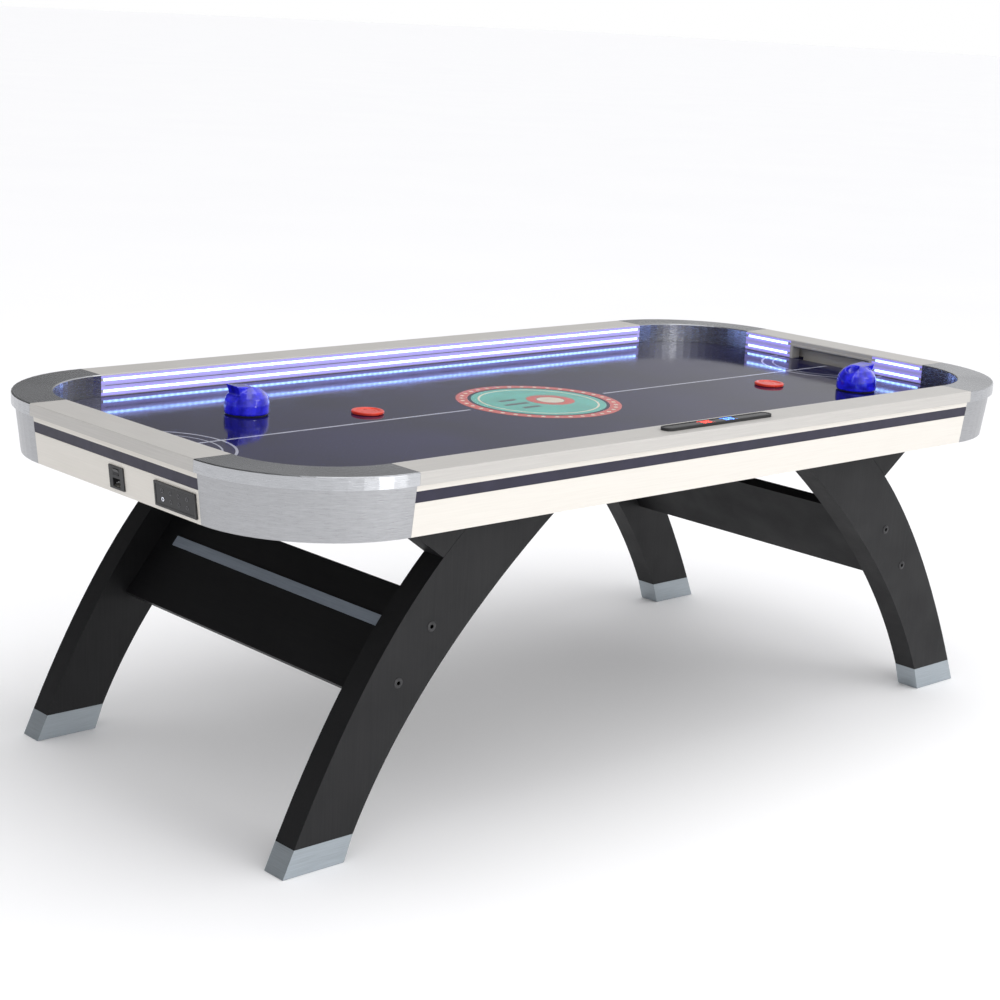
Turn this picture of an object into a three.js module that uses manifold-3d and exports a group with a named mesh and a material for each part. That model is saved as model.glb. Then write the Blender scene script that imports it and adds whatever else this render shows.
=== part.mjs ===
// Air hockey table, 8 ft class, millimetres, +Z up, origin on the floor under the middle of the table.
// +X runs along the length, and the end at -X carries the power inlet and the touch controls.
import * as THREE from 'three';
import { mergeVertices } from 'three/addons/utils/BufferGeometryUtils.js';
import Module from 'manifold-3d';

const wasm = await Module();
wasm.setup();

// Driving dimensions
const HALF_LENGTH = 1170;
const HALF_WIDTH = 600;
const TOP_Z = 800;
const CORNER_RADIUS = 300;
const RAIL_WIDTH = 88;
const LIP_HEIGHT = 26;
const APRON_BOTTOM_Z = 670;
const APRON_TOP_INSET = 8;
const APRON_BOTTOM_INSET = 20;
const APRON_INNER = 40;
const STRIPE_TOP_Z = 761;
const STRIPE_BOTTOM_Z = 738;
const STRIPE_DEPTH = 4;
const FIELD_Z = 750;
const FIELD_THICKNESS = 10;
const BOARD_THICKNESS = 9;
const WALL_THICKNESS = 28;
const GAP = 0.3;

const LED_HEIGHT = 6;
const LED_DEPTH = 6;
const LED_Z = [788, 762];
const END_LED_NEAR = 150;
const END_LED_FAR = 292;

const GOAL_HALF = 130;
const GOAL_TOP_Z = 783;
const GOAL_BOX_WALL = 3;
const GOAL_BOX_INNER_X = 1000;

const LEG_OUTER_Y = 490;
const LEG_THICKNESS = 60;
const LEG_TOP_Z = APRON_BOTTOM_Z - GAP;
const FOOT_HEIGHT = 55;
const FOOT_OUTER_X = 1080;
const FOOT_LENGTH = 148;
const FOOT_LEAN = 25;
const LEG_OUTER_CONTROL = [858, 486];
const LEG_OUTER_TOP_X = 610;
const LEG_INNER_CONTROL = [762, 376];
const LEG_INNER_TOP_X = 370;
const GUSSET_TIP_X = 822;
const GUSSET_CURVE_START = 0.8;

const CROSS_CENTRE = [771, 398];
const CROSS_TILT = THREE.MathUtils.degToRad(38);
const CROSS_HEIGHT = 236;
const CROSS_THICKNESS = 25;
const STRIP_WIDTH = 24;
const STRIP_THICKNESS = 3;
const STRIP_OFFSET = 34;
const STRIP_HALF_LENGTH = 370;

const PUSHER_RADIUS = 50;
const PUSHER_PLACES = { pusher_left: [-690, 205, 0], pusher_right: [850, -270, Math.PI] };
const PUCK_RADIUS = 37;
const PUCK_THICKNESS = 7;
const PUCK_PLACES = { puck_left: [-450, 80], puck_right: [690, -120] };

const CONTROL_Z = 704;
const CONTROL_Y = -222;
const INLET_Y = -14;
const CONTROL_SIZE = { width: 140, height: 50, depth: 4 };
const INLET_SIZE = { width: 52, height: 48, depth: 3 };

const COLOURS = {
  laminate: { color: 0xe9e6df, roughness: 0.45, metalness: 0 },
  stripe: { color: 0x26262e, roughness: 0.4, metalness: 0 },
  aluminium: { color: 0xb4b6ba, roughness: 0.35, metalness: 1 },
  field: { color: 0x10122c, roughness: 0.12, metalness: 0 },
  board: { color: 0x2b2926, roughness: 0.8, metalness: 0 },
  led: { color: 0xdff6ff, roughness: 0.4, metalness: 0, emissive: 0x5566ff },
  black: { color: 0x1b1b1d, roughness: 0.5, metalness: 0 },
  gloss: { color: 0x08080a, roughness: 0.1, metalness: 0 },
  steel: { color: 0x9a9ca0, roughness: 0.4, metalness: 1 },
  pusher: { color: 0x1c1ce8, roughness: 0.1, metalness: 0 },
  puck: { color: 0xe0301c, roughness: 0.35, metalness: 0 },
  felt: { color: 0x202028, roughness: 1, metalness: 0 },
  circuit: { color: 0x1d6b3a, roughness: 0.6, metalness: 0 },
};

const table = new THREE.Group();

function material(slot) {
  return new THREE.MeshStandardMaterial(COLOURS[slot]);
}

function addPiece(name, slot, geometry, parent = table) {
  const mesh = new THREE.Mesh(geometry, material(slot));
  mesh.name = name;
  parent.add(mesh);
  return mesh;
}

// Booleans
function toSolid(geometry) {
  const bare = geometry.clone();
  bare.deleteAttribute('normal');
  bare.deleteAttribute('uv');
  const merged = mergeVertices(bare, 1e-3);
  const vertProperties = new Float32Array(merged.attributes.position.array);
  const triVerts = new Uint32Array(merged.index.array);
  return new wasm.Manifold(new wasm.Mesh({ numProp: 3, vertProperties, triVerts }));
}

function toGeometry(solid) {
  const mesh = solid.getMesh();
  const geometry = new THREE.BufferGeometry();
  geometry.setAttribute('position', new THREE.BufferAttribute(mesh.vertProperties, 3));
  geometry.setIndex(new THREE.BufferAttribute(mesh.triVerts, 1));
  geometry.computeVertexNormals();
  return geometry;
}

function boxAt(x0, x1, y0, y1, z0, z1) {
  const box = new THREE.BoxGeometry(x1 - x0, y1 - y0, z1 - z0);
  return box.translate((x0 + x1) / 2, (y0 + y1) / 2, (z0 + z1) / 2);
}

function drill(radius, z0, z1, segments = 32) {
  const cylinder = new THREE.CylinderGeometry(radius, radius, z1 - z0, segments);
  return cylinder.rotateX(Math.PI / 2).translate(0, 0, (z0 + z1) / 2);
}

function polygon(points) {
  return new THREE.Shape(points.map(([u, v]) => new THREE.Vector2(u, v)));
}

// Extrudes a shape drawn in X and Z along Y, centred on y = 0
function extrudeAlongY(shape, length, steps = 12) {
  const geometry = new THREE.ExtrudeGeometry(shape, { depth: length, bevelEnabled: false, curveSegments: steps });
  return geometry.rotateX(Math.PI / 2).translate(0, length / 2, 0);
}

// Extrudes a shape drawn in X and Y upwards from z
function extrudeUp(shape, z, height, steps = 12) {
  const geometry = new THREE.ExtrudeGeometry(shape, { depth: height, bevelEnabled: false, curveSegments: steps });
  return geometry.translate(0, 0, z);
}

// Turns a closed outline of radius and height about Z
function revolve(points, segments = 48) {
  const outline = points.map(([r, z]) => new THREE.Vector2(r, z));
  return new THREE.LatheGeometry(outline, segments).rotateX(Math.PI / 2);
}

function roundedRectangle(halfX, halfY, radius) {
  const shape = new THREE.Shape();
  shape.moveTo(halfX, -halfY + radius);
  shape.lineTo(halfX, halfY - radius);
  shape.absarc(halfX - radius, halfY - radius, radius, 0, Math.PI / 2);
  shape.absarc(-halfX + radius, halfY - radius, radius, Math.PI / 2, Math.PI);
  shape.absarc(-halfX + radius, -halfY + radius, radius, Math.PI, 1.5 * Math.PI);
  shape.absarc(halfX - radius, -halfY + radius, radius, 1.5 * Math.PI, 2 * Math.PI);
  return shape;
}

// Outlines of the rim, as distances out from a line and heights.
// The reach is how far the outer lip stands from that line.
const LIP_BOTTOM_Z = TOP_Z - LIP_HEIGHT;
const APRON_TOP_Z = LIP_BOTTOM_Z - GAP;
const LIP_CHAMFER = 2;

function railOutline(reach) {
  const inner = reach - RAIL_WIDTH;
  return [
    [inner, FIELD_Z + GAP],
    [inner + WALL_THICKNESS, FIELD_Z + GAP],
    [inner + WALL_THICKNESS, LIP_BOTTOM_Z],
    [reach, LIP_BOTTOM_Z],
    [reach, TOP_Z - LIP_CHAMFER],
    [reach - LIP_CHAMFER, TOP_Z],
    [inner + LIP_CHAMFER, TOP_Z],
    [inner, TOP_Z - LIP_CHAMFER],
  ];
}

function apronFace(reach, z) {
  const share = (APRON_TOP_Z - z) / (APRON_TOP_Z - APRON_BOTTOM_Z);
  return reach - APRON_TOP_INSET - share * (APRON_BOTTOM_INSET - APRON_TOP_INSET);
}

function apronOutline(reach) {
  return [
    [reach - APRON_INNER, APRON_BOTTOM_Z],
    [apronFace(reach, APRON_BOTTOM_Z), APRON_BOTTOM_Z],
    [apronFace(reach, STRIPE_BOTTOM_Z), STRIPE_BOTTOM_Z],
    [apronFace(reach, STRIPE_BOTTOM_Z) - STRIPE_DEPTH, STRIPE_BOTTOM_Z],
    [apronFace(reach, STRIPE_TOP_Z) - STRIPE_DEPTH, STRIPE_TOP_Z],
    [apronFace(reach, STRIPE_TOP_Z), STRIPE_TOP_Z],
    [apronFace(reach, APRON_TOP_Z), APRON_TOP_Z],
    [reach - APRON_INNER, APRON_TOP_Z],
  ];
}

function stripeOutline(reach) {
  const low = STRIPE_BOTTOM_Z + GAP;
  const high = STRIPE_TOP_Z - GAP;
  return [
    [apronFace(reach, low) - STRIPE_DEPTH + GAP, low],
    [apronFace(reach, low) - GAP, low],
    [apronFace(reach, high) - GAP, high],
    [apronFace(reach, high) - STRIPE_DEPTH + GAP, high],
  ];
}

function ledOutline(reach, z) {
  const inner = reach - RAIL_WIDTH;
  const half = LED_HEIGHT / 2 - GAP;
  return [
    [inner + 1, z - half],
    [inner + LED_DEPTH - GAP, z - half],
    [inner + LED_DEPTH - GAP, z + half],
    [inner + 1, z + half],
  ];
}

function cornerPanelOutline() {
  return [
    [CORNER_RADIUS - APRON_INNER, APRON_BOTTOM_Z],
    [apronFace(CORNER_RADIUS, APRON_BOTTOM_Z), APRON_BOTTOM_Z],
    [apronFace(CORNER_RADIUS, APRON_TOP_Z), APRON_TOP_Z],
    [CORNER_RADIUS - APRON_INNER, APRON_TOP_Z],
  ];
}

// The four sides, each turned so that its outward direction starts as +X
const LONG_RUN = HALF_LENGTH - CORNER_RADIUS;
const END_RUN = HALF_WIDTH - CORNER_RADIUS;
const SIDES = [
  { name: 'right', reach: HALF_LENGTH, run: END_RUN, turn: 0, end: true },
  { name: 'far', reach: HALF_WIDTH, run: LONG_RUN, turn: Math.PI / 2, end: false },
  { name: 'left', reach: HALF_LENGTH, run: END_RUN, turn: Math.PI, end: true },
  { name: 'near', reach: HALF_WIDTH, run: LONG_RUN, turn: -Math.PI / 2, end: false },
];

function ledGroove(reach, y0, y1, z) {
  const inner = reach - RAIL_WIDTH;
  return toSolid(boxAt(inner - 1, inner + LED_DEPTH, y0, y1, z - LED_HEIGHT / 2, z + LED_HEIGHT / 2));
}

function railGeometry(side) {
  let solid = toSolid(extrudeAlongY(polygon(railOutline(side.reach)), 2 * side.run - GAP));
  for (const z of LED_Z) {
    if (side.end) {
      solid = solid.subtract(ledGroove(side.reach, END_LED_NEAR, END_LED_FAR, z));
      solid = solid.subtract(ledGroove(side.reach, -END_LED_FAR, -END_LED_NEAR, z));
    } else {
      solid = solid.subtract(ledGroove(side.reach, -side.run + 6, side.run - 6, z));
    }
  }
  if (side.end) {
    const inner = side.reach - RAIL_WIDTH;
    const slot = boxAt(inner - 5, inner + WALL_THICKNESS + 5, -GOAL_HALF, GOAL_HALF, FIELD_Z - 5, LIP_BOTTOM_Z);
    const recess = boxAt(inner - 5, inner + WALL_THICKNESS, -GOAL_HALF, GOAL_HALF, LIP_BOTTOM_Z - 1, GOAL_TOP_Z);
    solid = solid.subtract(toSolid(slot)).subtract(toSolid(recess));
  }
  return toGeometry(solid);
}

function apronGeometry(side) {
  let solid = toSolid(extrudeAlongY(polygon(apronOutline(side.reach)), 2 * side.run - GAP));
  if (side.name === 'left') {
    for (const [y, size] of [[-CONTROL_Y, CONTROL_SIZE], [-INLET_Y, INLET_SIZE]]) {
      const halfY = size.width / 2 - 4;
      const halfZ = size.height / 2 - 4;
      solid = solid.subtract(toSolid(boxAt(side.reach - 60, side.reach, y - halfY, y + halfY,
        CONTROL_Z - halfZ, CONTROL_Z + halfZ)));
    }
  }
  return toGeometry(solid);
}

for (const side of SIDES) {
  const group = new THREE.Group();
  group.rotation.z = side.turn;
  table.add(group);
  addPiece(`rail_${side.name}`, 'laminate', railGeometry(side), group);
  addPiece(`apron_${side.name}`, 'laminate', apronGeometry(side), group);
  const stripe = extrudeAlongY(polygon(stripeOutline(side.reach)), 2 * side.run - 2 * GAP);
  addPiece(`stripe_${side.name}`, 'stripe', stripe, group);
  if (!side.end) {
    for (const [level, z] of [['upper', LED_Z[0]], ['lower', LED_Z[1]]]) {
      const strip = extrudeAlongY(polygon(ledOutline(side.reach, z)), 2 * side.run - 14);
      addPiece(`led_strip_${side.name}_${level}`, 'led', strip, group);
    }
  }
}

// The four corners, each turned from the +X +Y one
const CORNERS = [
  { name: 'far_right', x: 1, y: 1, turn: 0 },
  { name: 'far_left', x: -1, y: 1, turn: Math.PI / 2 },
  { name: 'near_left', x: -1, y: -1, turn: Math.PI },
  { name: 'near_right', x: 1, y: -1, turn: 1.5 * Math.PI },
];

function quarter(outline) {
  const quadrant = boxAt(GAP / 2, 2 * CORNER_RADIUS, GAP / 2, 2 * CORNER_RADIUS, 0, 2 * TOP_Z);
  return toGeometry(toSolid(revolve(outline, 64)).intersect(toSolid(quadrant)));
}

for (const corner of CORNERS) {
  const group = new THREE.Group();
  group.rotation.z = corner.turn;
  group.position.set(corner.x * LONG_RUN, corner.y * END_RUN, 0);
  table.add(group);
  addPiece(`corner_cap_${corner.name}`, 'aluminium', quarter(railOutline(CORNER_RADIUS).concat([
    [CORNER_RADIUS - RAIL_WIDTH, FIELD_Z + GAP]])), group);
  addPiece(`corner_panel_${corner.name}`, 'aluminium', quarter(cornerPanelOutline().concat([
    [CORNER_RADIUS - APRON_INNER, APRON_BOTTOM_Z]])), group);
}

// Playfield over the air chamber, with a notch at each goal
const FIELD_HALF_X = HALF_LENGTH - APRON_INNER - GAP;
const FIELD_HALF_Y = HALF_WIDTH - APRON_INNER - GAP;
const FIELD_RADIUS = CORNER_RADIUS - APRON_INNER - GAP;
const NOTCH_X = HALF_LENGTH - RAIL_WIDTH + 4;

function playfieldGeometry() {
  const outline = roundedRectangle(FIELD_HALF_X, FIELD_HALF_Y, FIELD_RADIUS);
  let solid = toSolid(extrudeUp(outline, FIELD_Z - FIELD_THICKNESS, FIELD_THICKNESS));
  for (const side of [-1, 1]) {
    const [x0, x1] = side > 0 ? [NOTCH_X, 2 * NOTCH_X] : [-2 * NOTCH_X, -NOTCH_X];
    solid = solid.subtract(toSolid(boxAt(x0, x1, -GOAL_HALF, GOAL_HALF, 0, TOP_Z)));
  }
  return toGeometry(solid);
}

addPiece('playfield', 'field', playfieldGeometry());

const BOARD_Z = APRON_BOTTOM_Z;
const AIR_HOLE_RADIUS = 60;
const boardSolid = toSolid(extrudeUp(roundedRectangle(FIELD_HALF_X, FIELD_HALF_Y, FIELD_RADIUS), BOARD_Z,
  BOARD_THICKNESS)).subtract(toSolid(drill(AIR_HOLE_RADIUS, 0, TOP_Z)));
addPiece('bottom_board', 'board', toGeometry(boardSolid));

// Goal boxes: open trays that catch the puck under each end of the field
function goalBoxGeometry(side) {
  const z0 = BOARD_Z + BOARD_THICKNESS + GAP;
  const z1 = FIELD_Z - FIELD_THICKNESS - GAP;
  const halfY = GOAL_HALF + 6;
  const xs = [side * GOAL_BOX_INNER_X, side * (FIELD_HALF_X - 1)].sort((a, b) => a - b);
  const outer = toSolid(boxAt(xs[0], xs[1], -halfY, halfY, z0, z1));
  const inner = toSolid(boxAt(xs[0] + GOAL_BOX_WALL, xs[1] - GOAL_BOX_WALL, -halfY + GOAL_BOX_WALL,
    halfY - GOAL_BOX_WALL, z0 + GOAL_BOX_WALL, z1 + 1));
  return toGeometry(outer.subtract(inner));
}

addPiece('goal_box_left', 'black', goalBoxGeometry(-1));
addPiece('goal_box_right', 'black', goalBoxGeometry(1));

// Blower under the middle: a drum, a wheel with blades and a motor on a three-arm bracket
const DRUM = { radius: 140, top: BOARD_Z - GAP, bottom: 577, wall: 3, inlet: 80 };
const WHEEL = { radius: 115, z: 592, thickness: 4, bladeHeight: 46, bladeLength: 32, blades: 12 };
const SHAFT_RADIUS = 4;
const SHAFT_CLEARANCE = 0.1;
const MOTOR = { radius: 38, bottom: 532, armReach: 100, armWidth: 16, armThickness: 4 };

addPiece('blower_housing', 'black', revolve([
  [DRUM.inlet, DRUM.bottom],
  [DRUM.radius, DRUM.bottom],
  [DRUM.radius, DRUM.top],
  [AIR_HOLE_RADIUS, DRUM.top],
  [AIR_HOLE_RADIUS, DRUM.top - DRUM.wall],
  [DRUM.radius - DRUM.wall, DRUM.top - DRUM.wall],
  [DRUM.radius - DRUM.wall, DRUM.bottom + DRUM.wall],
  [DRUM.inlet, DRUM.bottom + DRUM.wall],
  [DRUM.inlet, DRUM.bottom],
]));

function wheelGeometry() {
  const hubRadius = 18;
  const hubTop = WHEEL.z + 22;
  let solid = toSolid(drill(WHEEL.radius, WHEEL.z, WHEEL.z + WHEEL.thickness, 48));
  solid = solid.add(toSolid(drill(hubRadius, WHEEL.z - 4, hubTop)));
  for (let blade = 0; blade < WHEEL.blades; blade += 1) {
    const outer = WHEEL.radius - 2;
    const plate = boxAt(outer - WHEEL.bladeLength, outer, -1.5, 1.5, WHEEL.z + 1, WHEEL.z + WHEEL.bladeHeight);
    plate.rotateZ((blade * 2 * Math.PI) / WHEEL.blades);
    solid = solid.add(toSolid(plate));
  }
  const bore = drill(SHAFT_RADIUS + SHAFT_CLEARANCE, 0, WHEEL.z + 16, 24);
  return toGeometry(solid.subtract(toSolid(bore)));
}

function motorGeometry() {
  const armTop = DRUM.bottom - GAP;
  let solid = toSolid(drill(MOTOR.radius, MOTOR.bottom, armTop));
  for (let arm = 0; arm < 3; arm += 1) {
    const bar = boxAt(0, MOTOR.armReach, -MOTOR.armWidth / 2, MOTOR.armWidth / 2, armTop - MOTOR.armThickness, armTop);
    bar.rotateZ((arm * 2 * Math.PI) / 3 + Math.PI / 7);
    solid = solid.add(toSolid(bar));
  }
  return toGeometry(solid.add(toSolid(drill(SHAFT_RADIUS, armTop - 2, WHEEL.z + 14, 24))));
}

addPiece('blower_wheel', 'black', wheelGeometry());
addPiece('blower_motor', 'steel', motorGeometry());

// Score counter on the near rail
const SCORE = { length: 340, width: 32, height: 6, rim: 5, floor: 2.5 };
const scoreY = -HALF_WIDTH + RAIL_WIDTH / 2;

function pill(length, width) {
  return roundedRectangle(length / 2, width / 2, width / 2 - 0.01);
}

const scoreFloorZ = TOP_Z + GAP + SCORE.floor;
const scoreBezel = toSolid(extrudeUp(pill(SCORE.length, SCORE.width), TOP_Z + GAP, SCORE.height, 8)).subtract(
  toSolid(extrudeUp(pill(SCORE.length - 2 * SCORE.rim, SCORE.width - 2 * SCORE.rim), scoreFloorZ, 20, 8)));
addPiece('score_bezel', 'black', toGeometry(scoreBezel)).position.y = scoreY;
const scoreLens = extrudeUp(pill(SCORE.length - 2 * SCORE.rim - 2 * GAP, SCORE.width - 2 * SCORE.rim - 2 * GAP),
  scoreFloorZ + GAP, 2.6, 8);
addPiece('score_display', 'gloss', scoreLens).position.y = scoreY;

// Controls and power inlet on the left apron, square to its sloping face
const faceSlope = Math.atan2(APRON_BOTTOM_INSET - APRON_TOP_INSET, APRON_TOP_Z - APRON_BOTTOM_Z);

function onLeftApron(y) {
  const turned = new THREE.Group();
  turned.rotation.z = Math.PI;
  table.add(turned);
  const face = new THREE.Group();
  face.position.set(apronFace(HALF_LENGTH, CONTROL_Z) + GAP, -y, CONTROL_Z);
  face.rotation.y = faceSlope;
  turned.add(face);
  return face;
}

function centredBox(x0, x1, width, height, z = 0) {
  return boxAt(x0, x1, -width / 2, width / 2, z - height / 2, z + height / 2);
}

const controlFace = onLeftApron(CONTROL_Y);
const controlRim = 5;
const frameSolid = toSolid(centredBox(0, CONTROL_SIZE.depth, CONTROL_SIZE.width, CONTROL_SIZE.height))
  .subtract(toSolid(centredBox(-5, 9, CONTROL_SIZE.width - 2 * controlRim, CONTROL_SIZE.height - 2 * controlRim)));
addPiece('control_frame', 'black', toGeometry(frameSolid), controlFace);
addPiece('touch_panel', 'gloss', centredBox(-6, CONTROL_SIZE.depth - 0.6, CONTROL_SIZE.width - 2 * controlRim - 1,
  CONTROL_SIZE.height - 2 * controlRim - 1), controlFace);

const inletFace = onLeftApron(INLET_Y);
const SOCKET = { width: 27, height: 18, depth: 15, z: -10 };
const ROCKER = { width: 20, height: 13, depth: 7, z: 12, windowDepth: 11, clearance: 0.8 };
const inletBody = toSolid(centredBox(0, INLET_SIZE.depth, INLET_SIZE.width, INLET_SIZE.height))
  .add(toSolid(centredBox(-20, 1, INLET_SIZE.width - 14, INLET_SIZE.height - 14)))
  .subtract(toSolid(centredBox(-SOCKET.depth, 9, SOCKET.width, SOCKET.height, SOCKET.z)))
  .subtract(toSolid(centredBox(-ROCKER.windowDepth, 9, ROCKER.width + 2 * ROCKER.clearance,
    ROCKER.height + 2 * ROCKER.clearance, ROCKER.z)));
addPiece('power_inlet', 'black', toGeometry(inletBody), inletFace);
const rockerHalf = ROCKER.height / 2;
const rockerShape = polygon([
  [-ROCKER.depth, -rockerHalf + 2],
  [1, -rockerHalf],
  [4.4, -rockerHalf],
  [2.6, 0],
  [4.4, rockerHalf],
  [1, rockerHalf],
  [-ROCKER.depth, rockerHalf - 2],
]);
addPiece('rocker_switch', 'gloss', extrudeAlongY(rockerShape, ROCKER.width), inletFace).position.z = ROCKER.z;

const boardZ = BOARD_Z + BOARD_THICKNESS + 10;
addPiece('control_board', 'circuit', boxAt(-1090, -1010, -320, -200, boardZ, boardZ + 2));

// Legs: half arches that lean in from each foot, with a capped foot and a gusset at the top
function mirrored(points, side) {
  return points.map(([x, z]) => [side * x, z]);
}

function curvePoints(start, control, end, from, to, count, offset = 0) {
  const curve = new THREE.QuadraticBezierCurve(
    new THREE.Vector2(...start), new THREE.Vector2(...control), new THREE.Vector2(...end));
  const points = [];
  for (let step = 0; step <= count; step += 1) {
    const t = from + ((to - from) * step) / count;
    const tangent = curve.getTangent(t);
    const point = curve.getPoint(t);
    points.push([point.x + offset * tangent.y, point.y - offset * tangent.x]);
  }
  return points;
}

const legBase = FOOT_HEIGHT + GAP;
const legOuterStart = [FOOT_OUTER_X - FOOT_LEAN, legBase];
const legInnerStart = [FOOT_OUTER_X - FOOT_LENGTH - FOOT_LEAN + 5, legBase];
const legOuterEnd = [LEG_OUTER_TOP_X, LEG_TOP_Z];
const legInnerEnd = [LEG_INNER_TOP_X, LEG_TOP_Z];

const outerCurve = curvePoints(legOuterStart, LEG_OUTER_CONTROL, legOuterEnd, 0, 1, 20);
const innerCurve = curvePoints(legInnerStart, LEG_INNER_CONTROL, legInnerEnd, 0, 1, 20);
const legOutline = outerCurve.concat(innerCurve.reverse());
const footOutline = [
  [FOOT_OUTER_X - FOOT_LENGTH, 0],
  [FOOT_OUTER_X, 0],
  [FOOT_OUTER_X - FOOT_LEAN, FOOT_HEIGHT],
  [FOOT_OUTER_X - FOOT_LENGTH - FOOT_LEAN + 5, FOOT_HEIGHT],
];
const seam = curvePoints(legOuterStart, LEG_OUTER_CONTROL, legOuterEnd, GUSSET_CURVE_START, 0.999, 8, 2 * GAP);
const gussetOutline = [[GUSSET_TIP_X, LEG_TOP_Z]].concat(seam.reverse().map(([x, z]) => [x, Math.min(z, LEG_TOP_Z)]));

const legMiddleY = LEG_OUTER_Y - LEG_THICKNESS / 2;
for (const corner of CORNERS) {
  const y = corner.y * legMiddleY;
  const shapes = [
    [`leg_${corner.name}`, 'black', legOutline],
    [`foot_cap_${corner.name}`, 'aluminium', footOutline],
    [`gusset_${corner.name}`, 'black', gussetOutline],
  ];
  for (const [name, slot, outline] of shapes) {
    const piece = extrudeAlongY(polygon(mirrored(outline, corner.x)), LEG_THICKNESS);
    addPiece(name, slot, piece).position.y = y;
  }
}

// Cross panels between the legs of each end, leaning with them, with a bright strip outside
const crossLength = 2 * (LEG_OUTER_Y - LEG_THICKNESS - GAP);
for (const [name, side] of [['left', -1], ['right', 1]]) {
  const group = new THREE.Group();
  group.position.set(side * CROSS_CENTRE[0], 0, CROSS_CENTRE[1]);
  group.rotation.y = -side * CROSS_TILT;
  table.add(group);
  const halfThick = CROSS_THICKNESS / 2;
  const halfHigh = CROSS_HEIGHT / 2;
  addPiece(`cross_panel_${name}`, 'black',
    boxAt(-halfThick, halfThick, -crossLength / 2, crossLength / 2, -halfHigh, halfHigh), group);
  const face = side * (halfThick + GAP);
  const xs = [face, face + side * STRIP_THICKNESS].sort((a, b) => a - b);
  addPiece(`trim_strip_${name}`, 'aluminium', boxAt(xs[0], xs[1], -STRIP_HALF_LENGTH, STRIP_HALF_LENGTH,
    STRIP_OFFSET - STRIP_WIDTH / 2, STRIP_OFFSET + STRIP_WIDTH / 2), group);
}

// Pushers: a helmet-shaped grip with a hooked crest and a finger hollow, on a felt pad
const PAD_THICKNESS = 2;
const PAD_Z = FIELD_Z + GAP;
const GRIP_Z = PAD_Z + PAD_THICKNESS + GAP;

function gripOutline() {
  const shape = new THREE.Shape();
  shape.moveTo(-PUSHER_RADIUS, 0);
  shape.lineTo(PUSHER_RADIUS, 0);
  shape.lineTo(PUSHER_RADIUS, 22);
  shape.bezierCurveTo(48, 36, 34, 50, 14, 57);
  shape.bezierCurveTo(0, 61, -20, 60, -42, 64);
  shape.bezierCurveTo(-38, 54, -32, 46, -36, 38);
  shape.bezierCurveTo(-42, 34, -50, 30, -PUSHER_RADIUS, 22);
  return shape;
}

function gripGeometry() {
  const side = gripOutline();
  const dome = toSolid(revolve([
    [0, 0],
    [49, 0],
    [PUSHER_RADIUS, 2],
    [PUSHER_RADIUS, 22],
    [46, 36],
    [36, 49],
    [22, 58],
    [0, 63],
  ], 40));
  const drum = toSolid(drill(PUSHER_RADIUS - 0.2, 0, 80, 40));
  const wide = toSolid(extrudeAlongY(side, 2.2 * PUSHER_RADIUS, 6)).intersect(dome);
  const crest = toSolid(extrudeAlongY(side, 42, 6)).intersect(drum);
  const hollow = new THREE.SphereGeometry(1, 20, 14);
  hollow.scale(19, 17, 22);
  hollow.translate(21, 0, 56);
  return toGeometry(wide.add(crest).subtract(toSolid(hollow)));
}

for (const [name, [x, y, turn]] of Object.entries(PUSHER_PLACES)) {
  const group = new THREE.Group();
  group.position.set(x, y, 0);
  group.rotation.z = turn;
  table.add(group);
  addPiece(name, 'pusher', gripGeometry(), group).position.z = GRIP_Z;
  addPiece(`${name}_pad`, 'felt', drill(PUSHER_RADIUS - 4, PAD_Z, PAD_Z + PAD_THICKNESS, 32), group);
}

// Pucks: flat discs with a shallow dished top and a rounded rim
for (const [name, [x, y]] of Object.entries(PUCK_PLACES)) {
  const low = FIELD_Z + GAP;
  const high = low + PUCK_THICKNESS;
  const disc = revolve([
    [0, low],
    [PUCK_RADIUS - 1.5, low],
    [PUCK_RADIUS, low + 1.5],
    [PUCK_RADIUS, high - 1.5],
    [PUCK_RADIUS - 1.5, high],
    [PUCK_RADIUS - 8, high],
    [PUCK_RADIUS - 10, high - 1.5],
    [0, high - 1.5],
  ], 40);
  addPiece(name, 'puck', disc).position.set(x, y, 0);
}

export default table;
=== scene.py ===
import math

import bmesh
import bpy
from mathutils import Matrix, Vector


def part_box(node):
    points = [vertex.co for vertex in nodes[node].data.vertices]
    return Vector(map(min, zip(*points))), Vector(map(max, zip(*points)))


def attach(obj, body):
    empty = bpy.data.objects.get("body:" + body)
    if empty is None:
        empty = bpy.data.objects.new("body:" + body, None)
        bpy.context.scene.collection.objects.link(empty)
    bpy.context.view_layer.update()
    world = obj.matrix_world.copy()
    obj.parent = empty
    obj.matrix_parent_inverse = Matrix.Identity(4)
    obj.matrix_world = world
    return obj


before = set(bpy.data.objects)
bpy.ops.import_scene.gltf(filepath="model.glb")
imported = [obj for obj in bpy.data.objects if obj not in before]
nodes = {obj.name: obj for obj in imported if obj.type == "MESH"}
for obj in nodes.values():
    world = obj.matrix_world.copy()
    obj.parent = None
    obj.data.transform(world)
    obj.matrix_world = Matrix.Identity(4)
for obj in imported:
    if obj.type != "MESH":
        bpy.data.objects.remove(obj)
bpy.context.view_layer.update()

MM = 0.001

# Places that follow from the frame
FIELD_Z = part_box("playfield")[1][2]
FIELD_HALF_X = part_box("rail_right")[0][0]
FIELD_HALF_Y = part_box("rail_far")[0][1]
CORNER_CENTRE_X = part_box("rail_near")[1][0]
CORNER_CENTRE_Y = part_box("rail_right")[1][1]


# Camera

CAMERA_PLACE = Vector((-3.257, -3.383, 1.636))
CAMERA_YAW = math.radians(47.05)
CAMERA_PITCH = math.radians(13.52)
CAMERA_ROLL = math.radians(2.95)
CAMERA_LENS = 73.1


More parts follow.
